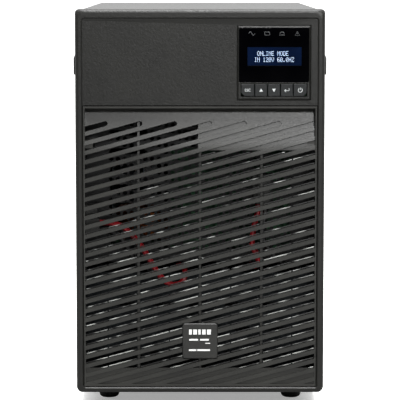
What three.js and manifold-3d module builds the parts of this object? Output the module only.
// Tower uninterruptible power supply, in millimetres.
// +Z up, the front faces -Y, origin on the floor under the middle of the object.

import * as THREE from 'three';
import { mergeVertices } from 'three/addons/utils/BufferGeometryUtils.js';
import Module from 'manifold-3d';

const wasm = await Module();
wasm.setup();

// Overall sizes: body width without the handles, height with the feet, full depth.
const width = 214;
const height = 346;
const depth = 412;

// Shared clearances and stock.
const gap = 0.3; // between pieces that touch
const over = 1; // how far a cutter runs past what it cuts
const sheet = 1.2; // steel sheet
const coverStep = 1; // the steel case is this much smaller than the bezel all round
const rearStandOut = 6; // how far the rear fittings stand out of the case

// Bezel: one moulding of rim and upper panel.
const bezelDepth = 16;
const bezelWall = 2.4;
const bezelCorner = 3.5;
const faceCorner = 7.5;
const edgeRound = 3.3;
const roundSteps = 6;
const rimSide = 6.4;
const rimTop = 8.3;
const rimBottom = 5.2;
const rimChamfer = 1.3;
const openingCorner = 1.5;
const rimLedge = 8; // depth over which the rim is solid
const panelRecess = 1.2;
const panelWall = 2.5;
const hook = { length: 10, thickness: 2.4, height: 16, places: [0.25, 0.75] };

// Grille door.
const doorSetback = 0.6;
const doorSideGap = 0.4;
const doorTopGap = 0.8;
const doorBottomGap = 0.5;
const doorWall = 3.1;
const doorDepth = 12;
const doorEdge = 1.2;
const doorSill = 1.5;
const lipHeight = 1.7;
const scoopHeight = 36.5; // from the lip down to where the scoop runs out
const scoopDepth = 9.4;
const scoopEase = 7; // half the height over which the scoop starts
const slotPitch = 8.075;
const slotOpening = 4.5; // measured upright
const slotSlope = 0.27;
const slotTipDrop = 15.3; // slot ends below the top of the door
const slotTipX = 68;
const slotFree = 2; // solid door under the lowest slot
const blindTopDrop = 38; // solid-backed band to the right, below the top of the door
const blindBottom = 15.9; // solid-backed band above the bottom of the door
const grooveDepth = 1.5;
const ribPitch = 53;
const ribWidth = 2.1;
const ribDepth = 5;
const peg = { radius: 2, clearance: 0.4, inset: 4.7, fromEnd: 11, fromScoop: 32.9, boss: 6.8, past: 0.5 };
const lugSize = 9;
const lugThickness = 2.5;

// Badge.
const badgeWidth = 30.3;
const badgeHeight = 31;
const badgeCorner = 2.5;
const badgeThickness = 1.7;
const badgeSetback = 0.1;
const badgeBevel = 0.7;
const badgeRoom = 0.4; // round the badge in its seat
const badgeRise = 39.7; // centre above the bottom of the door

// Display module.
const displayWidth = 63;
const displayHeight = 63.5;
const displayMargin = 5.8; // to the rim at the side and the top
const displayBelow = 4.6; // upper panel under the display
const displayDepth = 10;
const displaySetback = 0.2;
const displayGroove = 0.4;
const displayBevel = 1.4;
const displayCorner = 1.2;
const displayWall = 2.4;
const displayFace = 4.2; // thickness of the display's front
const flangeLip = 2;
const displayFlange = 1.5;
const windowSide = 1.7;
const windowTop = 1.9;
const windowWeb = 1.6; // bar between the window and the keys
const windowThickness = 1.6;
const windowSetback = 0.1;
const windowCorner = 1.5;
const windowBevel = 0.3;
const lcd = { left: 8.8, top: 18.3, width: 46.1, height: 15.6, thickness: 3, setback: 0.3 };
const keyHeight = 10.4;
const keyBottom = 3.3;
const keySide = 3.4;
const keyGap = 0.7;
const keyClearance = 0.5;
const keyCorner = 3;
const keySetback = 0.1;
const keyCap = 3;
const keyStemInset = 3.5;
const keyDepth = 8;
const keyWidths = [11.2, 10.3, 10.3, 10.3, 11.3];
const boardThickness = 1.6;
const boardInset = 1;

// Case cover and feet.
const coverBend = 2.5;
const footHeight = 14;
const footRadius = 9;
const footSideInset = 26;
const footEndInset = 52;

// Side handles: a hood over a cup that is sunk into the case.
const handleLength = 110;
const handleFromFront = 90;
const handleTopDrop = 36.3; // top of the hood below the top of the object
const hoodHeight = 24.4;
const hoodStandOut = 8;
const hoodShoulder = { width: 1.8, low: 9.5, high: 5 };
const handleWall = 2;
const cupDepth = 24;
const cupReach = 24; // height of the hand opening under the hood
const cupTopDrop = 4;
const flangeLap = 4;
const flangeThickness = 1.2;

// Inner steelwork.
const frontPlateSetback = 40;
const baseFlange = 20;
const bayMargin = 3; // front plate beside the battery opening
const bayTop = 2; // front plate over the battery opening
const shelfClearance = 8.2; // above the battery terminals
const shelfRearRoom = 45;
const shelfFlange = 12;
const standoffHeight = 8;
const standoffRadius = 3;
const standoffInset = 8;
const vent = { width: 30, height: 5, pitch: 16, fromShelf: 12, share: 0.62 };

// Batteries: sealed 12 V blocks, three wide and two deep.
const batteryWidth = 65;
const batteryLength = 151;
const batteryHeight = 94;
const batteryGap = 1;
const batteryRows = 3;
const batteryDeep = 2;
const lidInset = 0.8;
const lidHeight = 3;
const terminalHeight = 6;
const terminalInset = 10;
const terminalSpread = 22;
const terminalTab = { width: 6.4, thickness: 0.8 };
const trayWall = 1;
const trayHeight = 45;
const bracketRoom = 6; // from the front plate to the batteries
const bracketSlot = { width: 22, height: 4, pitchX: 33, pitchZ: 22, rows: 3, fromFloor: 24 };

// Battery leads and their connectors.
const leadRadius = 2.5;
const leadSides = 8;
const plug = { length: 13, deep: 12, wide: 14, edge: 4, socket: 12 };

// Power electronics on the shelf.
const boardSideRoom = 8;
const boardFrontRoom = 24;
const boardRearRoom = 4;
const sink = { width: 40, height: 50, base: 6, fins: 6, fin: 2.2, length: 107, rearRoom: 12, sideRoom: 10.5 };
const choke = { inner: 14, outer: 30, height: 28, round: 3, spacing: 36, fromFront: 42 };
const can = { radius: 17.5, height: 60, first: 171.7, pitch: 42 };
const controlRoom = 12; // control board behind the front plate
const controlLeft = 60; // past the display's left side
const controlRight = 4;
const controlDrop = 45; // top of the control board below the display
const ribbon = { width: 25, left: 19, thickness: 1, rise: 32, bend: 8, bendSteps: 5 };
const ribbonHole = { side: 12, low: 24, high: 40 };

// Fans.
const fanSize = 80;
const fanDepth = 25;
const fanSpacing = 12;
const fanTopRoom = 16;
const fanRim = 2.5; // wall beside the fan's bore
const fanCorner = 4;
const hubRadius = 16;
const strut = 4;
const strutDepth = 3;
const shaftRadius = 2.5;
const shaftLength = 12;
const shaftClearance = 0.1;
const rotorRoom = 0.5;
const blade = { count: 7, chord: 20, thickness: 1.4, pitch: 42, root: 4, back: 2 };
const tipClearance = 1.5;
const guardWire = 1.8;
const guardInner = 13;
const guardRingCount = 3;
const guardInset = 4;

// Rear fittings.
const panelSetback = 0.8; // rear panel inside the end of the cover
const fittingLip = 0.5; // bodies pass into their flanges
const outlet = { pitchX: 38, pitchZ: 42, columns: 3, rows: 2, deep: 24, flange: 3, thickness: 2.2, corner: 2 };
const blades = { x: 6.3, width: 2.2, left: [1, 9.5], right: [2, 8.5], deep: 20 };
const earth = { drop: 7.5, radius: 2.9 };
const outletX = -16;
const outletRoom = 18; // between the slot cover and the outlets
const inlet = { width: 46, height: 30, x: 66, deep: 26, flangeX: 7, flangeZ: 2.5, thickness: 2.4, corner: 3 };
const cavity = { side: 5, end: 4, deep: 20 };
const pins = { places: [[-11, -1], [0, 2.5], [11, -1]], width: 2.2, height: 8, setback: 1 };
const inletRoom = 8; // between the outlets and the inlet
const breaker = { x: -70, radius: 8, deep: 28, nut: 11, nutThickness: 2.6, button: 4, room: 0.3, bore: 8 };
const slotCover = { width: 50, height: 26, side: 14, lapX: 6, lapZ: 5, plug: 6 };
const port = { width: 54, height: 24, side: 14, deep: 12, lap: 1.5, face: 1 };
const serial = { low: [30, 46], high: [28, 48], down: 4, up: 4.5, deep: 6 };
const square = { x: [8, 20], half: 5.5, deep: 9 };
const slotRoom = 18; // between the fans and the slot cover

// Places that follow from the sizes above.
const front = -depth / 2;
const rear = depth / 2;
const bezelBack = front + bezelDepth;
const openX = width / 2 - rimSide;
const openBottom = footHeight + rimBottom;
const openTop = height - rimTop;
const panelBottom = openTop - displayMargin - displayHeight - displayBelow;
const doorX = openX - doorSideGap;
const doorBottom = openBottom + doorBottomGap;
const doorTop = panelBottom - doorTopGap;
const doorFront = front + doorSetback;
const scoopBottom = doorTop - lipHeight - scoopHeight;
const coverX = width / 2 - coverStep;
const coverTop = height - coverStep;
const coverFront = bezelBack + gap;
const coverRear = rear - rearStandOut;
const innerX = coverX - sheet - gap;
const innerTop = coverTop - sheet - gap;
const plateX = innerX - sheet - gap; // inside the flanges of the base pan
const floorTop = footHeight + gap + sheet;
const plateFront = front + frontPlateSetback;
const plateBack = plateFront + sheet;
const panelOut = coverRear - panelSetback; // outer face of the rear panel
const panelIn = panelOut - sheet;
const seatY = panelOut + gap; // what is screwed to the rear panel starts here
const batteryFront = plateFront + bracketRoom;
const batteryBottom = floorTop + gap + trayWall + gap;
const batteryTop = batteryBottom + batteryHeight;
const shelfBottom = batteryTop + terminalHeight + shelfClearance;
const shelfTop = shelfBottom + sheet;
const boardBottom = shelfTop + standoffHeight + gap;
const boardTop = boardBottom + boardThickness;
const boardX = innerX - boardSideRoom;
const boardY = [plateBack + boardFrontRoom, panelIn - shelfRearRoom - boardRearRoom];
const badgeZ = doorBottom + badgeRise;
const displayRight = openX - displayMargin;
const displayLeft = displayRight - displayWidth;
const displayTop = openTop - displayMargin;
const displayBottom = displayTop - displayHeight;
const displayFront = front + displaySetback;
const displayBack = displayFront + displayDepth;
const windowX = [displayLeft + windowSide, displayRight - windowSide];
const keyLow = displayBottom + keyBottom;
const windowZ = [keyLow + keyHeight + windowWeb, displayTop - windowTop];
const lcdX = [displayLeft + lcd.left, displayLeft + lcd.left + lcd.width];
const lcdZ = [displayTop - lcd.top - lcd.height, displayTop - lcd.top];
const fanBore = fanSize / 2 - fanRim;
const fanSpread = (fanSize + fanSpacing) / 2;
const fanZ = height - fanTopRoom - fanSize / 2;
const fanBack = panelIn - gap;
const fanFront = fanBack - fanDepth;
const slotTop = fanZ - fanSize / 2 - slotRoom;
const slotX = [slotCover.side - innerX, slotCover.side - innerX + slotCover.width];
const slotZ = [slotTop - slotCover.lapZ - slotCover.height, slotTop - slotCover.lapZ];
const portX = [innerX - port.side - port.width, innerX - port.side];
const portZ = [slotTop - port.height - slotCover.lapZ, slotTop - slotCover.lapZ];
const outletTop = slotZ[0] - slotCover.lapZ - outletRoom;
const bankX = centred(outletX, outlet.columns * outlet.pitchX);
const bankZ = [outletTop - outlet.rows * outlet.pitchZ, outletTop];
const lowerRowZ = bankZ[0] - inletRoom - inlet.height / 2;
const inletBoxX = centred(inlet.x, inlet.width);
const inletBoxZ = centred(lowerRowZ, inlet.height);
const batteryPitch = batteryWidth + batteryGap;
const packX = (batteryPitch * batteryRows - batteryGap) / 2;
const packRear = batteryFront + (batteryLength + batteryGap) * batteryDeep - batteryGap;
const handleY = centred(front + handleFromFront + handleLength / 2, handleLength - 2 * flangeLap);
const handleTop = height - handleTopDrop;
const hoodLow = handleTop - hoodHeight;
const cupZ = [hoodLow - cupReach, handleTop - cupTopDrop];

// Spans: [low, high] pairs along one axis.

function centred(middle, size) {
  return [middle - size / 2, middle + size / 2];
}

function grow([low, high], by) {
  return [low - by, high + by];
}

// From a to b on one side of the middle plane, -1 for left and 1 for right.
function onSide(side, a, b) {
  return side > 0 ? [a, b] : [-b, -a];
}

// A closed three.js geometry as a solid that can be joined and cut.
function solid(geometry) {
  const bare = geometry.clone();
  bare.deleteAttribute('normal');
  bare.deleteAttribute('uv');
  const merged = mergeVertices(bare, 1e-4);
  return new wasm.Manifold(new wasm.Mesh({
    numProp: 3,
    vertProperties: new Float32Array(merged.attributes.position.array),
    triVerts: new Uint32Array(merged.index.array),
  }));
}

function block([x0, x1], [y0, y1], [z0, z1]) {
  const geometry = new THREE.BoxGeometry(x1 - x0, y1 - y0, z1 - z0);
  return solid(geometry.translate((x0 + x1) / 2, (y0 + y1) / 2, (z0 + z1) / 2));
}

function polygon(pairs) {
  return new THREE.Shape(pairs.map(([a, b]) => new THREE.Vector2(a, b)));
}

// An outline drawn in x and z, pushed from y0 to y1.
function alongY(shape, y0, y1) {
  const geometry = new THREE.ExtrudeGeometry(shape, { depth: y1 - y0, bevelEnabled: false });
  return solid(geometry.rotateX(Math.PI / 2).translate(0, y1, 0));
}

// An outline drawn in y and z, pushed from x0 to x1.
function alongX(shape, x0, x1) {
  const geometry = new THREE.ExtrudeGeometry(shape, { depth: x1 - x0, bevelEnabled: false });
  const turn = new THREE.Matrix4().set(0, 0, 1, 0, 1, 0, 0, 0, 0, 1, 0, 0, 0, 0, 0, 1);
  return solid(geometry.applyMatrix4(turn).translate(x0, 0, 0));
}

function cylinderY(radius, x, z, y0, y1, sides = 24) {
  const geometry = new THREE.CylinderGeometry(radius, radius, y1 - y0, sides);
  return solid(geometry.translate(x, (y0 + y1) / 2, z));
}

function cylinderZ(radius, x, y, z0, z1, sides) {
  const geometry = new THREE.CylinderGeometry(radius, radius, z1 - z0, sides);
  return solid(geometry.rotateX(Math.PI / 2).translate(x, y, (z0 + z1) / 2));
}

// A profile of [radius, height] points turned about the Z axis at (x, y).
function turned(profile, x, y, sides = 20) {
  const points = profile.map(([radius, z]) => new THREE.Vector2(radius, z));
  return solid(new THREE.LatheGeometry(points, sides).rotateX(Math.PI / 2).translate(x, y, 0));
}

function roundedOutline([x0, x1], [z0, z1], radius, steps = 4) {
  const points = [];
  const corners = [[x1, z0, -1, 1, -90], [x1, z1, -1, -1, 0], [x0, z1, 1, -1, 90], [x0, z0, 1, 1, 180]];
  for (const [x, z, sx, sz, from] of corners) {
    for (let i = 0; i <= steps; i++) {
      const angle = THREE.MathUtils.degToRad(from + (90 * i) / steps);
      const along = radius * (sx + Math.cos(angle));
      points.push(new THREE.Vector2(x + along, z + radius * (sz + Math.sin(angle))));
    }
  }
  return points;
}

// Outlines of equal point count in x and z, joined from the rearmost to the foremost.
function loftY(sections) {
  const count = sections[0].points.length;
  const positions = sections.flatMap(({ points, y }) => points.flatMap((p) => [p.x, y, p.y]));
  const index = [];
  for (let s = 0; s < sections.length - 1; s++) {
    for (let i = 0; i < count; i++) {
      const a = s * count + i;
      const b = s * count + ((i + 1) % count);
      index.push(a, b, b + count, a, b + count, a + count);
    }
  }
  const last = (sections.length - 1) * count;
  for (const [a, b, c] of THREE.ShapeUtils.triangulateShape(sections[0].points, [])) {
    index.push(a, c, b, last + a, last + b, last + c);
  }
  const geometry = new THREE.BufferGeometry();
  geometry.setAttribute('position', new THREE.Float32BufferAttribute(positions, 3));
  geometry.setIndex(index);
  return solid(geometry);
}

// A slab facing -Y with rounded corners and a bevel round its front edge.
function bevelledPlate(x, z, radius, y0, y1, bevel) {
  const faceRadius = Math.max(radius - bevel, 0.2);
  return loftY([
    { points: roundedOutline(x, z, radius), y: y1 },
    { points: roundedOutline(x, z, radius), y: y0 + bevel },
    { points: roundedOutline(grow(x, -bevel), grow(z, -bevel), faceRadius), y: y0 },
  ]);
}

// A slab with rounded corners on the outside of the rear panel.
function rearFlange(x, z, radius, thickness) {
  return alongY(new THREE.Shape(roundedOutline(x, z, radius)), seatY, seatY + thickness);
}

function joined(pieces) {
  return pieces.reduce((whole, piece) => whole.add(piece));
}

const object = new THREE.Group();

function addPart(name, body, color, roughness, metalness = 0) {
  const { vertProperties, triVerts } = body.getMesh();
  const geometry = new THREE.BufferGeometry();
  geometry.setAttribute('position', new THREE.BufferAttribute(vertProperties, 3));
  geometry.setIndex(new THREE.BufferAttribute(triVerts, 1));
  geometry.computeVertexNormals();
  const mesh = new THREE.Mesh(geometry, new THREE.MeshStandardMaterial({ color, roughness, metalness }));
  mesh.name = name;
  object.add(mesh);
}

const colours = {
  bezel: 0x2e2e2c,
  steel: 0x2b2b2a,
  zinc: 0x8f9294,
  rubber: 0x171717,
  black: 0x101011,
  glass: 0x0a1932,
  key: 0x3a3e3f,
  board: 0x1f5a35,
  battery: 0x3a3b3e,
  red: 0xb01c1c,
  connector: 0x9a9a98,
  copper: 0x9c5a2c,
  alloy: 0xa5a8aa,
  button: 0x7c7c7a,
};

// Front bezel: the front edge is a quarter round, with the corners opening up towards the face.
function bezelShell() {
  const outerX = centred(0, width);
  const outerZ = [footHeight, height];
  const sections = [{ points: roundedOutline(outerX, outerZ, bezelCorner, roundSteps), y: bezelBack }];
  for (let i = 0; i <= roundSteps; i++) {
    const share = i / roundSteps;
    const turn = (Math.PI / 2) * share;
    const inset = edgeRound * (1 - Math.cos(turn));
    const radius = bezelCorner + (faceCorner - bezelCorner) * share;
    const points = roundedOutline(grow(outerX, -inset), grow(outerZ, -inset), radius, roundSteps);
    sections.push({ points, y: front + edgeRound * (1 - Math.sin(turn)) });
  }
  return loftY(sections);
}

// Where the door's pegs enter the bezel's lugs: x and z of the four.
function pegPlaces() {
  const x = doorX - peg.inset;
  const levels = [doorBottom + peg.fromEnd, doorTop - peg.fromScoop];
  return [-x, x].flatMap((px) => levels.map((pz) => [px, pz]));
}

function frontBezel() {
  const openingX = [-openX, openX];
  const openingZ = [openBottom, openTop];
  const insideX = width / 2 - bezelWall / 2;
  const mouth = roundedOutline(openingX, openingZ, openingCorner);
  const wideMouth = roundedOutline(grow(openingX, rimChamfer), grow(openingZ, rimChamfer),
    openingCorner + rimChamfer);
  const chamfer = loftY([{ points: mouth, y: front + rimChamfer }, { points: wideMouth, y: front }]);
  const recess = alongY(new THREE.Shape(mouth), front - over, front + panelRecess);
  const behindRim = block(centred(0, width - 2 * bezelWall), [front + rimLedge, bezelBack + over],
    grow([footHeight, height], -bezelWall));
  const sillBar = block(openingX, [front + panelRecess, bezelBack], [panelBottom, panelBottom + bezelWall]);
  const doorway = block(openingX, [front - over, bezelBack + over], [openBottom, panelBottom]);
  const behindPanel = block(openingX, [front + panelRecess + panelWall, bezelBack + over],
    [panelBottom + bezelWall, openTop]);
  const displayHole = block(grow([displayLeft, displayRight], displayGroove), [front - over, bezelBack],
    grow([displayBottom, displayTop], displayGroove));
  const shell = bezelShell().subtract(joined([chamfer, recess, behindRim])).add(sillBar)
    .subtract(joined([doorway, behindPanel, displayHole]));
  const lugY = [bezelBack - lugThickness, bezelBack];
  const lugs = pegPlaces().map(([x, z]) => {
    const hole = cylinderY(peg.radius + peg.clearance, x, z, front, bezelBack + over, 12);
    const lugX = onSide(Math.sign(x), Math.abs(x) - lugSize / 2, insideX);
    return block(lugX, lugY, centred(z, lugSize)).subtract(hole);
  });
  const hooks = [-1, 1].flatMap((side) => hook.places.map((share) => {
    const z = centred(footHeight + (height - footHeight) * share, hook.height);
    const arm = block(onSide(side, innerX - hook.thickness, innerX), [lugY[0], bezelBack + hook.length], z);
    return arm.add(block(onSide(side, innerX - hook.thickness, insideX), lugY, z));
  }));
  return joined([shell, ...lugs, ...hooks]);
}

// Front surface of the door over the scoop, as [y, z] from the bottom up, set back by offset.
function doorProfile(offset) {
  const slope = scoopDepth / scoopHeight;
  const eased = scoopEase * slope;
  return [
    [doorFront + offset, scoopBottom - scoopEase],
    [doorFront + 0.175 * eased + offset, scoopBottom - 0.36 * scoopEase],
    [doorFront + 0.45 * eased + offset, scoopBottom + 0.29 * scoopEase],
    [doorFront + eased + offset, scoopBottom + scoopEase],
    [doorFront + scoopDepth + offset, doorTop - lipHeight],
  ];
}

// Slanted slots with round tips, right across the door from its left side.
function slots() {
  const half = slotOpening / 2;
  const tipZ = doorTop - slotTipDrop;
  const tipRadius = half * Math.cos(Math.atan(slotSlope));
  const reach = doorX - doorEdge;
  const through = [doorFront - over, bezelBack];
  const first = -Math.floor((slotTipX + doorX) / (slotPitch / slotSlope));
  const last = Math.ceil((tipZ + slotSlope * (reach - slotTipX) - doorBottom) / slotPitch);
  const cuts = [];
  for (let k = first; k <= last; k++) {
    const middle = (x) => tipZ + slotSlope * (x - slotTipX) - k * slotPitch;
    const end = slotTipX + (k * slotPitch) / slotSlope;
    const right = Math.min(end, width);
    cuts.push(alongY(polygon([
      [-width, middle(-width) - half], [right, middle(right) - half],
      [right, middle(right) + half], [-width, middle(-width) + half],
    ]), ...through));
    if (end < reach) {
      cuts.push(cylinderY(tipRadius, end, middle(end), ...through, 12));
    }
  }
  const field = block([-reach, reach], [front - 2 * over, bezelBack],
    [doorBottom + slotFree, doorTop - lipHeight - over]);
  return joined(cuts).intersect(field);
}

function grilleDoor() {
  const inner = doorFront + doorWall;
  const deepest = inner + scoopDepth;
  const skin = alongX(polygon([
    [doorFront, doorBottom], [inner, doorBottom], ...doorProfile(doorWall), [deepest, doorTop],
    [doorFront, doorTop], [doorFront, doorTop - lipHeight], ...doorProfile(0).reverse(),
  ]), -doorX, doorX);
  const blindX = [-doorWall / 2, doorX];
  const blindSection = polygon([...doorProfile(grooveDepth), ...doorProfile(doorWall).reverse()]);
  const blindTop = alongX(blindSection, ...blindX)
    .intersect(block(blindX, [front, bezelBack], [doorTop - blindTopDrop, doorTop]));
  const blindLow = block([-doorX, doorX], [doorFront + grooveDepth, inner],
    [doorBottom, doorBottom + blindBottom]);
  const edgeY = [doorFront, doorFront + doorDepth];
  const edgeZ = [doorBottom, doorTop];
  const sides = [-1, 1].map((side) => block(onSide(side, doorX - doorEdge, doorX), edgeY, edgeZ));
  const sill = block([-doorX, doorX], edgeY, [doorBottom, doorBottom + doorSill]);
  const lap = 0.2; // ribs start inside the skin
  const ribs = [-1, 0, 1].map((n) => alongX(polygon([
    [inner - lap, doorBottom + over], [inner + ribDepth, doorBottom + over],
    [inner + ribDepth, scoopBottom - scoopEase], [deepest + over, doorTop - over],
    [deepest - lap, doorTop - over],
    ...doorProfile(doorWall - lap).reverse(),
  ]), ...centred(n * ribPitch, ribWidth)));
  const seatX = centred(0, badgeWidth + 2 * badgeRoom);
  const seatZ = centred(badgeZ, badgeHeight + 2 * badgeRoom);
  const seatBack = front + badgeSetback + badgeThickness + gap;
  const seatCut = block(seatX, [front - over, seatBack], seatZ);
  const seat = block(grow(seatX, -over), [seatBack, inner], grow(seatZ, -over));
  const pegs = pegPlaces().map(([x, z]) => {
    const bossX = onSide(Math.sign(x), Math.abs(x) - peg.boss / 2, doorX - doorEdge / 2);
    const boss = block(bossX, [inner - lap, edgeY[1]], centred(z, peg.boss));
    return boss.add(cylinderY(peg.radius, x, z, inner, bezelBack + peg.past, 12));
  });
  return joined([skin.subtract(slots()), blindTop, blindLow, ...sides, sill, ...ribs])
    .subtract(seatCut).add(joined([seat, ...pegs]));
}

function badgePlate() {
  const y = front + badgeSetback;
  return bevelledPlate(centred(0, badgeWidth), centred(badgeZ, badgeHeight), badgeCorner, y,
    y + badgeThickness, badgeBevel);
}

function displayHousing() {
  const x = [displayLeft, displayRight];
  const z = [displayBottom, displayTop];
  const body = bevelledPlate(x, z, displayCorner, displayFront, displayBack, displayBevel);
  const flangeFront = front + panelRecess + panelWall + gap;
  const flange = block(grow(x, flangeLip), [flangeFront, flangeFront + displayFlange], grow(z, flangeLip));
  const windowSeat = block(grow(windowX, gap), [front - over, displayFront + windowThickness + gap],
    grow(windowZ, gap));
  const lcdHole = block(grow(lcdX, gap), [front, displayBack + over], grow(lcdZ, gap));
  const keyHole = block(grow(x, keyClearance - keySide), [front - over, displayBack + over],
    grow([keyLow, keyLow + keyHeight], keyClearance));
  const core = block(grow(x, -displayWall), [displayFront + displayFace, displayBack + over],
    [windowZ[0] + windowWeb, displayTop - displayWall]);
  return body.add(flange).subtract(joined([windowSeat, core, lcdHole, keyHole]));
}

function displayWindow() {
  const pane = bevelledPlate(windowX, windowZ, windowCorner, displayFront + windowSetback,
    displayFront + windowThickness, windowBevel);
  return pane.subtract(block(grow(lcdX, gap), [front - over, displayBack], grow(lcdZ, gap)));
}

function lcdScreen() {
  const y = displayFront + lcd.setback;
  return block(lcdX, [y, y + lcd.thickness], lcdZ);
}

function displayBoard() {
  const y = displayBack + gap;
  return block(grow([displayLeft, displayRight], -boardInset), [y, y + boardThickness],
    grow([displayBottom, displayTop], -boardInset));
}

// The two end keys have one lower outer corner cut off.
function key([x0, x1], cutLeft, cutRight) {
  const z = [keyLow, keyLow + keyHeight];
  const outline = cutLeft ? [[x0, z[0] + keyCorner], [x0 + keyCorner, z[0]]] : [[x0, z[0]]];
  outline.push(...(cutRight ? [[x1 - keyCorner, z[0]], [x1, z[0] + keyCorner]] : [[x1, z[0]]]));
  outline.push([x1, z[1]], [x0, z[1]]);
  const cap = alongY(polygon(outline), front + keySetback, front + keyCap);
  const stem = block(grow([x0, x1], -keyStemInset), [front + keyCap - over, front + keyDepth],
    grow(z, -keyStemInset));
  return cap.add(stem);
}

function addKeys() {
  const names = ['key_escape', 'key_up', 'key_down', 'key_enter', 'key_power'];
  const last = names.length - 1;
  const room = displayWidth - 2 * keySide - last * keyGap;
  const scale = room / keyWidths.reduce((sum, w) => sum + w);
  let x = displayLeft + keySide;
  names.forEach((name, i) => {
    const span = keyWidths[i] * scale;
    addPart(name, key([x, x + span], i === 0, i === last), colours.key, 0.45);
    x += span + keyGap;
  });
}

// Case cover: one sheet bent over the sides and the top, open below.
function caseCover() {
  const half = coverBend * 0.28; // the bend's middle, inside the corner
  const outer = [
    [coverX, footHeight], [coverX, coverTop - coverBend], [coverX - half, coverTop - half],
    [coverX - coverBend, coverTop],
  ];
  const bend = coverBend - sheet / 2;
  const inner = [[coverX - sheet - bend, coverTop - sheet], [coverX - sheet, coverTop - sheet - bend],
    [coverX - sheet, footHeight]];
  const mirror = (points) => points.map(([x, z]) => [-x, z]).reverse();
  const section = polygon([...outer, ...mirror(outer), ...mirror(inner), ...inner]);
  const holes = [-1, 1].map((side) => block(onSide(side, coverX - cupDepth, coverX + over),
    grow(handleY, gap), grow(cupZ, gap)));
  return alongY(section, coverFront, coverRear).subtract(joined(holes));
}

// Section in x and z: a cup sunk into the case, a flange on its outside and a hood over the top.
function sideHandle(side) {
  const face = coverX + gap;
  const lip = face + flangeThickness;
  const out = coverX + hoodStandOut;
  const sunk = coverX - cupDepth;
  const shoulder = out - hoodShoulder.width;
  const outer = [[sunk, cupZ[0]], [face, cupZ[0]], [face, cupZ[0] - flangeLap], [lip, cupZ[0] - flangeLap],
    [lip, hoodLow], [out, hoodLow], [out, handleTop - hoodShoulder.low],
    [shoulder, handleTop - hoodShoulder.high], [lip, handleTop], [lip, handleTop + flangeLap],
    [face, handleTop + flangeLap], [face, cupZ[1]], [sunk, cupZ[1]]];
  const w = handleWall;
  const hollow = [[sunk + w, cupZ[0] + w], [lip + over, cupZ[0] + w], [lip + over, hoodLow - over],
    [out - w, hoodLow - over], [out - w, handleTop - hoodShoulder.low - w / 4],
    [shoulder - w * 0.7, handleTop - hoodShoulder.high - w], [lip, cupZ[1] - w], [sunk + w, cupZ[1] - w]];
  const place = (points) => polygon(points.map(([x, z]) => [side * x, z]));
  const flange = block(onSide(side, face, lip), grow(handleY, flangeLap), [cupZ[0] - flangeLap,
    handleTop + flangeLap]);
  return alongY(place(outer), ...handleY).add(flange).subtract(alongY(place(hollow), ...grow(handleY, -w)));
}

function basePan() {
  const y = [coverFront + gap, panelIn - gap];
  const floor = block([-innerX, innerX], y, [footHeight + gap, floorTop]);
  const flanges = [-1, 1].map((side) => block(onSide(side, innerX - sheet, innerX), y,
    [footHeight + gap, floorTop + baseFlange]));
  return joined([floor, ...flanges]);
}

// A sheet wall across the case, with its upper corners inside the bends of the cover.
function innerWall(half, y, bottom) {
  const cut = coverBend - sheet / 2 + gap / 3;
  return alongY(polygon([[-half, bottom], [half, bottom], [half, innerTop - cut], [half - cut, innerTop],
    [cut - half, innerTop], [-half, innerTop - cut]]), y, y + sheet);
}

function frontPlate() {
  const through = grow([plateFront, plateBack], over);
  const bay = block(centred(0, 2 * (plateX - bayMargin)), through, [floorTop + over, shelfBottom - bayTop]);
  const cable = block([displayLeft + ribbonHole.side, displayRight - ribbonHole.side], through,
    [displayBottom + ribbonHole.low, displayBottom + ribbonHole.high]);
  const vents = [];
  const rows = Math.floor((panelBottom - shelfTop - vent.fromShelf) / vent.pitch);
  for (let row = 0; row < rows; row++) {
    const z = shelfTop + vent.fromShelf + row * vent.pitch;
    for (const place of [-vent.share, 0, vent.share]) {
      vents.push(block(centred(plateX * place, vent.width), through, [z, z + vent.height]));
    }
  }
  return innerWall(plateX, plateFront, floorTop + gap).subtract(joined([bay, cable, ...vents]));
}

function studPlaces() {
  const x = boardX - standoffInset;
  return [-x, x].flatMap((sx) => grow(boardY, -standoffInset).map((y) => [sx, y]));
}

function shelf() {
  const y = [plateBack + gap, panelIn - shelfRearRoom];
  const plate = block([-plateX, plateX], y, [shelfBottom, shelfTop]);
  const flanges = [-1, 1].map((side) => block(onSide(side, plateX - sheet, plateX), y,
    [shelfBottom, shelfTop + shelfFlange]));
  const studs = studPlaces().map(([x, sy]) => cylinderZ(standoffRadius, x, sy, shelfBottom,
    shelfTop + standoffHeight, 10));
  return joined([plate, ...flanges, ...studs]);
}

function rearPanel() {
  const through = grow([panelIn, panelOut], over);
  const fans = [-1, 1].map((side) => cylinderY(fanBore, side * fanSpread, fanZ, ...through));
  const holes = [[bankX, bankZ], [inletBoxX, inletBoxZ], [slotX, slotZ], [portX, portZ]]
    .map(([x, z]) => block(grow(x, gap), through, grow(z, gap)));
  const breakerHole = cylinderY(breaker.radius + gap, breaker.x, lowerRowZ, ...through, 16);
  return innerWall(innerX, panelIn, footHeight + gap).subtract(joined([...fans, ...holes, breakerHole]));
}

function foot(x, y) {
  const r = footRadius;
  const h = footHeight;
  const profile = [[0, 0], [0.42 * r, 0], [0.72 * r, 0.13 * h], [0.92 * r, 0.38 * h], [r, 0.68 * h], [r, h],
    [0, h]];
  return turned(profile, x, y, 18);
}

// Left front corner of each battery, front row first.
function batteryPlaces() {
  const places = [];
  for (let row = 0; row < batteryDeep; row++) {
    for (let column = 0; column < batteryRows; column++) {
      places.push([column * batteryPitch - packX, batteryFront + row * (batteryLength + batteryGap)]);
    }
  }
  return places;
}

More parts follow.
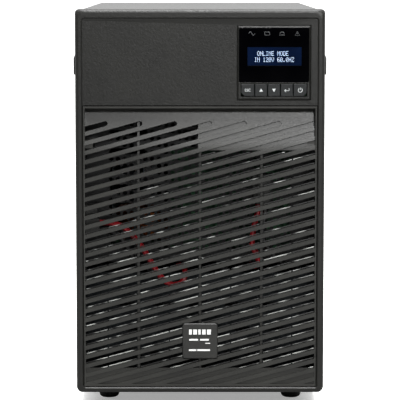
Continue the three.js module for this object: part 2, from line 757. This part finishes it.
function battery(left, y) {
  const x = [left, left + batteryWidth];
  const long = [y, y + batteryLength];
  const lidBottom = batteryTop - lidHeight;
  const caseBlock = block(x, long, [batteryBottom, lidBottom]);
  const lid = block(grow(x, -lidInset), grow(long, -lidInset), [lidBottom - over, batteryTop]);
  const tabs = [-1, 1].map((side) => block(
    centred(left + batteryWidth / 2 + side * terminalSpread, terminalTab.width),
    centred(y + terminalInset, terminalTab.thickness), [batteryTop - over, batteryTop + terminalHeight]));
  return joined([caseBlock, lid, ...tabs]);
}

function batteryTray() {
  const x = packX + gap;
  const y = [batteryFront - gap, packRear + gap];
  const floor = floorTop + gap;
  const outer = block([-x - trayWall, x + trayWall], [y[0], y[1] + trayWall], [floor, floor + trayHeight]);
  return outer.subtract(block([-x, x], [y[0] - over, y[1]], [floor + trayWall, floor + trayHeight + over]));
}

// Cross plate that holds the batteries in, hooked over their front edge.
function batteryBracket() {
  const half = plateX - over;
  const y = [plateFront - gap - sheet, plateFront - gap];
  const top = batteryTop + sheet + gap + over;
  const slot = bracketSlot;
  const plate = block([-half, half], y, [floorTop + slot.height + 2 * over, top]);
  const lipInset = handleWall + bayMargin;
  const lip = block(centred(0, 2 * (half - lipInset)), [y[0], batteryFront + slot.height], [top - sheet, top]);
  const vents = [];
  for (let row = 0; row < slot.rows; row++) {
    const z = floorTop + slot.fromFloor + row * slot.pitchZ;
    for (const column of [-2, -1, 0, 1, 2]) {
      vents.push(block(centred(column * slot.pitchX, slot.width), grow(y, over), [z, z + slot.height]));
    }
  }
  return plate.add(lip).subtract(joined(vents));
}

// Leads: [x, height above the batteries, distance behind the front plate], chosen by hand
// from connector to terminal.
const leadRoutes = {
  battery_lead_red_left: [
    [-87.5, 47.9, -10], [-79, 47.9, -10.4], [-68, 44.9, -11.5], [-61, 38.9, -11.5], [-55, 32.4, -11.5],
    [-50, 25.4, -11.5], [-46, 18.9, -11.5], [-42, 11.9, -11.5], [-37.5, 4.9, -11.5], [-32, -2.1, -12],
    [-25, -6.3, -12], [-17.5, -5.6, -12], [-13.5, -0.1, -11], [-13.5, 5.9, -6], [-16, 8.5, 2],
    [-19.5, 8.5, 10],
  ],
  battery_lead_black_left: [
    [-87.5, 41.5, -10], [-80, 41.3, -10.4], [-71, 36.4, -11.5], [-64.5, 28.4, -11.5],
    [-60, 20.4, -11.5], [-56, 13.4, -11], [-53, 8.5, -6], [-51, 8.2, 2], [-46.5, 8.5, 10],
  ],
  battery_lead_red_right: [
    [51, 64.9, -10], [50.8, 57.9, -10.4], [48.4, 49.9, -11.5], [47, 42.9, -11.5], [46, 34.9, -11.5],
    [46, 27.4, -11.5], [50, 19.9, -11.5], [51.5, 13.4, -10], [50, 8.7, -4], [48, 8.3, 3], [46, 8.5, 10],
  ],
  battery_lead_black_right: [
    [57.4, 64.9, -10], [57.2, 57.9, -10.4], [56, 49.9, -11.5], [55, 41.9, -11.5], [55.5, 33.9, -11.5],
    [59, 26.9, -11.5], [65, 19.4, -11.5], [72, 12.9, -10], [77, 8.9, -4], [81, 8.3, 3], [85.5, 8.5, 10],
  ],
};

function leadPoint([x, up, back]) {
  return new THREE.Vector3(x, plateFront + back, batteryTop + up);
}

function lead(points) {
  const curve = new THREE.CatmullRomCurve3(points.map(leadPoint), false, 'centripetal');
  const ring = Array.from({ length: leadSides }, (_, i) => {
    const angle = (Math.PI * (2 * i + 1)) / leadSides;
    return new THREE.Vector2(leadRadius * Math.cos(angle), leadRadius * Math.sin(angle));
  });
  const settings = { steps: points.length * 2, bevelEnabled: false, extrudePath: curve };
  return solid(new THREE.ExtrudeGeometry(new THREE.Shape(ring), settings));
}

// A two-way connector: the plug ends a pair of leads, the socket beside it is on the front plate.
// The left pair leaves its plug sideways, the right pair downwards.
function sidewaysPlug(leadStart) {
  const { x, y, z } = leadPoint(leadStart);
  const high = z + plug.edge;
  return block([x - gap - plug.length, x - gap], centred(y, plug.deep), [high - plug.wide, high]);
}

function sidewaysSocket(leadStart) {
  const { x, y, z } = leadPoint(leadStart);
  const low = z + plug.edge + gap;
  return block([x - plug.length - over, x - 2 * over], [y - plug.deep / 2 - over, plateFront - gap],
    [low, low + plug.socket]);
}

function hangingPlug(leadStart) {
  const { x, y, z } = leadPoint(leadStart);
  const left = x - plug.edge;
  return block([left, left + plug.wide], centred(y, plug.deep), [z + gap, z + gap + plug.length]);
}

function hangingSocket(leadStart) {
  const { x, y, z } = leadPoint(leadStart);
  const left = x - plug.edge;
  const low = z + 2 * gap + plug.length;
  return block(grow([left, left + plug.wide], over), [y - plug.deep / 2 - over, plateFront - gap],
    [low, low + plug.socket]);
}

function mainBoard() {
  return block([-boardX, boardX], boardY, [boardBottom, boardTop]);
}

// Extruded comb with its fins upright.
function heatSink(side) {
  const low = boardTop + gap;
  const middle = side * (boardX - sink.sideRoom - sink.width / 2);
  const x0 = middle - sink.width / 2;
  const pitch = (sink.width - sink.fin) / (sink.fins - 1);
  const outline = [[x0, low], [x0 + sink.width, low]];
  for (let fin = sink.fins - 1; fin >= 0; fin--) {
    const left = x0 + fin * pitch;
    outline.push([left + sink.fin, low + sink.height], [left, low + sink.height]);
    if (fin > 0) {
      outline.push([left, low + sink.base], [left - pitch + sink.fin, low + sink.base]);
    }
  }
  const y1 = boardY[1] - sink.rearRoom;
  return alongY(polygon(outline), y1 - sink.length, y1);
}

// Wound ring core lying on the board.
function inductor(side) {
  const { inner, outer, round } = choke;
  const low = boardTop + gap;
  const high = low + choke.height;
  return turned([
    [inner, low + round], [inner + round, low], [outer - round, low], [outer, low + round],
    [outer, high - round], [outer - round, high], [inner + round, high], [inner, high - round],
    [inner, low + round],
  ], side * (outer + choke.spacing / 2), boardY[0] + choke.fromFront);
}

function capacitor(number) {
  const low = boardTop + gap;
  return cylinderZ(can.radius, 0, boardY[0] + can.first + number * can.pitch, low, low + can.height, 18);
}

function controlBoard() {
  const y = plateBack + controlRoom;
  return block([displayLeft - controlLeft, displayRight - controlRight], [y, y + boardThickness],
    [shelfTop + gap, displayBottom - controlDrop]);
}

// Flat cable from the display board, through the front plate, down to the control board.
function ribbonCable() {
  const { thickness, bend, bendSteps } = ribbon;
  const y = [displayBack + 2 * gap + boardThickness, plateBack + controlRoom + boardThickness / 2];
  const z = [displayBottom - controlDrop + gap, displayBottom + ribbon.rise];
  const arc = (radius, from, to) => Array.from({ length: bendSteps + 1 }, (_, i) => {
    const angle = THREE.MathUtils.degToRad(from + ((to - from) * i) / bendSteps);
    return [y[1] - bend + radius * Math.cos(angle), z[1] - bend + radius * Math.sin(angle)];
  });
  const outline = [[y[0], z[1]], ...arc(bend, 90, 0), [y[1], z[0]], [y[1] - thickness, z[0]],
    ...arc(bend - thickness, 0, 90), [y[0], z[1] - thickness]];
  return alongX(polygon(outline), displayLeft + ribbon.left, displayLeft + ribbon.left + ribbon.width);
}

function fanFrame(x) {
  const outline = new THREE.Shape(roundedOutline(centred(x, fanSize), centred(fanZ, fanSize), fanCorner, 2));
  const shell = alongY(outline, fanFront, fanBack)
    .subtract(cylinderY(fanBore, x, fanZ, fanFront - over, fanBack + over));
  const y = [fanFront, fanFront + strutDepth];
  const reach = 2 * (fanBore + over);
  const hub = cylinderY(hubRadius, x, fanZ, ...y);
  const struts = [[reach, strut], [strut, reach]]
    .map(([wide, tall]) => block(centred(x, wide), y, centred(fanZ, tall)));
  const shaft = cylinderY(shaftRadius, x, fanZ, y[1] - over, y[1] - over + shaftLength);
  return joined([shell, hub, ...struts, shaft]);
}

function fanImpeller(x) {
  const y = [fanFront + strutDepth + rotorRoom, fanBack - blade.back];
  const root = hubRadius - blade.root;
  const length = fanBore - tipClearance - root;
  const vanes = Array.from({ length: blade.count }, (_, i) => {
    const geometry = new THREE.BoxGeometry(length, blade.chord, blade.thickness);
    geometry.rotateX(THREE.MathUtils.degToRad(blade.pitch)).translate(root + length / 2, (y[0] + y[1]) / 2, 0);
    geometry.rotateY((2 * Math.PI * i) / blade.count);
    return solid(geometry.translate(x, 0, fanZ));
  });
  const boreEnd = fanFront + strutDepth - over + shaftLength + rotorRoom;
  const bore = cylinderY(shaftRadius + shaftClearance, x, fanZ, fanFront, boreEnd);
  return joined([cylinderY(hubRadius, x, fanZ, ...y), ...vanes]).subtract(bore);
}

function fanGuard(x) {
  const y = [seatY, seatY + guardWire];
  const spacing = (fanBore - guardWire - guardInner) / (guardRingCount - 1);
  const rings = Array.from({ length: guardRingCount }, (_, i) => {
    const [r0, r1] = centred(guardInner + i * spacing, guardWire);
    const profile = [[r0, y[0]], [r1, y[0]], [r1, y[1]], [r0, y[1]], [r0, y[0]]]
      .map(([r, along]) => new THREE.Vector2(r, along));
    return solid(new THREE.LatheGeometry(profile, 24).translate(x, 0, fanZ));
  });
  const diagonal = Math.SQRT2 * (fanSize - 2 * guardInset);
  const arms = [45, 135].map((degrees) => {
    const geometry = new THREE.BoxGeometry(diagonal, guardWire, guardWire);
    geometry.rotateY(THREE.MathUtils.degToRad(degrees));
    return solid(geometry.translate(x, (y[0] + y[1]) / 2, fanZ));
  });
  return joined([...rings, ...arms]);
}

// Six receptacles in one moulding, each with two blade slots and an earth hole.
function outletBank() {
  const body = block(bankX, [panelIn - outlet.deep, seatY + fittingLip], bankZ);
  const flange = rearFlange(grow(bankX, outlet.flange), grow(bankZ, outlet.flange), outlet.corner,
    outlet.thickness);
  const deep = [panelIn - blades.deep, rear];
  const cuts = [];
  for (let column = 0; column < outlet.columns; column++) {
    for (let row = 0; row < outlet.rows; row++) {
      const x = bankX[0] + (column + 0.5) * outlet.pitchX;
      const z = bankZ[0] + (row + 0.5) * outlet.pitchZ;
      cuts.push(block(centred(x - blades.x, blades.width), deep, blades.left.map((up) => z + up)));
      cuts.push(block(centred(x + blades.x, blades.width), deep, blades.right.map((up) => z + up)));
      cuts.push(cylinderY(earth.radius, x, z - earth.drop, ...deep, 10));
    }
  }
  return body.add(flange).subtract(joined(cuts));
}

function powerInlet() {
  const body = block(inletBoxX, [panelIn - inlet.deep, seatY + fittingLip], inletBoxZ);
  const flange = rearFlange(grow(inletBoxX, inlet.flangeX), grow(inletBoxZ, inlet.flangeZ), inlet.corner,
    inlet.thickness);
  const hollow = block(grow(inletBoxX, -cavity.side), [panelIn - cavity.deep, rear],
    grow(inletBoxZ, -cavity.end));
  const contacts = pins.places.map(([dx, dz]) => block(centred(inlet.x + dx, pins.width),
    [panelIn - cavity.deep - over, panelOut - pins.setback], centred(lowerRowZ + dz, pins.height)));
  return body.add(flange).subtract(hollow).add(joined(contacts));
}

function breakerBody() {
  const { x, radius, deep, nutThickness, button, room } = breaker;
  const barrel = cylinderY(radius, x, lowerRowZ, panelIn - deep, seatY + fittingLip, 16);
  const nut = cylinderY(breaker.nut, x, lowerRowZ, seatY, seatY + nutThickness, 6);
  const bore = cylinderY(button + room, x, lowerRowZ, panelOut - breaker.bore, rear, 16);
  return barrel.add(nut).subtract(bore);
}

function breakerButton() {
  return cylinderY(breaker.button, breaker.x, lowerRowZ, panelOut - breaker.bore + rotorRoom, rear, 16);
}

// Blank cover over the slot for a plug-in card.
function slotBlank() {
  const plate = rearFlange(grow(slotX, slotCover.lapX), grow(slotZ, slotCover.lapZ), over, sheet);
  return plate.add(block(grow(slotX, -2 * gap), [panelIn - slotCover.plug, seatY + fittingLip],
    grow(slotZ, -2 * gap)));
}

// Serial port and square data port in one carrier.
function portBlock() {
  const body = block(portX, [panelIn - port.deep, seatY + fittingLip], portZ);
  const face = block(grow(portX, port.lap), [seatY, seatY + port.face], grow(portZ, port.lap));
  const x = portX[0];
  const z = (portZ[0] + portZ[1]) / 2;
  const serialHole = alongY(polygon([
    [x + serial.low[0], z - serial.down], [x + serial.low[1], z - serial.down],
    [x + serial.high[1], z + serial.up], [x + serial.high[0], z + serial.up],
  ]), panelOut - serial.deep, rear);
  const squareHole = block(square.x.map((along) => x + along), [panelOut - square.deep, rear],
    centred(z, 2 * square.half));
  return body.add(face).subtract(serialHole.add(squareHole));
}

addPart('front_bezel', frontBezel(), colours.bezel, 0.55);
addPart('grille_door', grilleDoor(), colours.bezel, 0.55);
addPart('badge_plate', badgePlate(), colours.bezel, 0.4);
addPart('display_housing', displayHousing(), colours.bezel, 0.5);
addPart('display_window', displayWindow(), colours.black, 0.08);
addPart('lcd_screen', lcdScreen(), colours.glass, 0.15);
addPart('display_board', displayBoard(), colours.board, 0.6);
addKeys();

addPart('case_cover', caseCover(), colours.steel, 0.6, 0.4);
addPart('handle_left', sideHandle(-1), colours.bezel, 0.6);
addPart('handle_right', sideHandle(1), colours.bezel, 0.6);
addPart('base_pan', basePan(), colours.steel, 0.6, 0.4);
addPart('front_plate', frontPlate(), colours.steel, 0.5, 0.6);
addPart('shelf', shelf(), colours.zinc, 0.45, 0.8);
addPart('rear_panel', rearPanel(), colours.steel, 0.6, 0.4);

for (const [endName, end] of [['front', -1], ['rear', 1]]) {
  for (const [sideName, side] of [['left', -1], ['right', 1]]) {
    const body = foot(side * (width / 2 - footSideInset), end * (depth / 2 - footEndInset));
    addPart(`foot_${endName}_${sideName}`, body, colours.rubber, 0.85);
  }
}

addPart('battery_tray', batteryTray(), colours.zinc, 0.5, 0.8);
batteryPlaces().forEach(([x, y], i) => addPart(`battery_${i + 1}`, battery(x, y), colours.battery, 0.6));
addPart('battery_bracket', batteryBracket(), colours.zinc, 0.45, 0.8);
for (const [name, points] of Object.entries(leadRoutes)) {
  addPart(name, lead(points), name.includes('red') ? colours.red : colours.black, 0.5);
}
const leftStart = leadRoutes.battery_lead_red_left[0];
const rightStart = leadRoutes.battery_lead_red_right[0];
addPart('battery_plug_left', sidewaysPlug(leftStart), colours.connector, 0.5);
addPart('battery_plug_right', hangingPlug(rightStart), colours.connector, 0.5);
addPart('battery_socket_left', sidewaysSocket(leftStart), colours.connector, 0.5);
addPart('battery_socket_right', hangingSocket(rightStart), colours.connector, 0.5);

addPart('main_board', mainBoard(), colours.board, 0.6);
addPart('heat_sink_left', heatSink(-1), colours.alloy, 0.4, 0.9);
addPart('heat_sink_right', heatSink(1), colours.alloy, 0.4, 0.9);
addPart('inductor_left', inductor(-1), colours.copper, 0.5, 0.5);
addPart('inductor_right', inductor(1), colours.copper, 0.5, 0.5);
addPart('capacitor_front', capacitor(0), colours.black, 0.4);
addPart('capacitor_rear', capacitor(1), colours.black, 0.4);
addPart('control_board', controlBoard(), colours.board, 0.6);
addPart('ribbon_cable', ribbonCable(), colours.connector, 0.6);

for (const [sideName, side] of [['left', -1], ['right', 1]]) {
  addPart(`fan_frame_${sideName}`, fanFrame(side * fanSpread), colours.black, 0.6);
  addPart(`fan_impeller_${sideName}`, fanImpeller(side * fanSpread), colours.black, 0.5);
  addPart(`fan_guard_${sideName}`, fanGuard(side * fanSpread), colours.zinc, 0.3, 0.9);
}

addPart('power_inlet', powerInlet(), colours.black, 0.5);
addPart('outlet_bank', outletBank(), colours.black, 0.5);
addPart('breaker_body', breakerBody(), colours.black, 0.5);
addPart('breaker_button', breakerButton(), colours.button, 0.5);
addPart('slot_cover', slotBlank(), colours.steel, 0.5, 0.5);
addPart('port_block', portBlock(), colours.black, 0.5);

export default object;
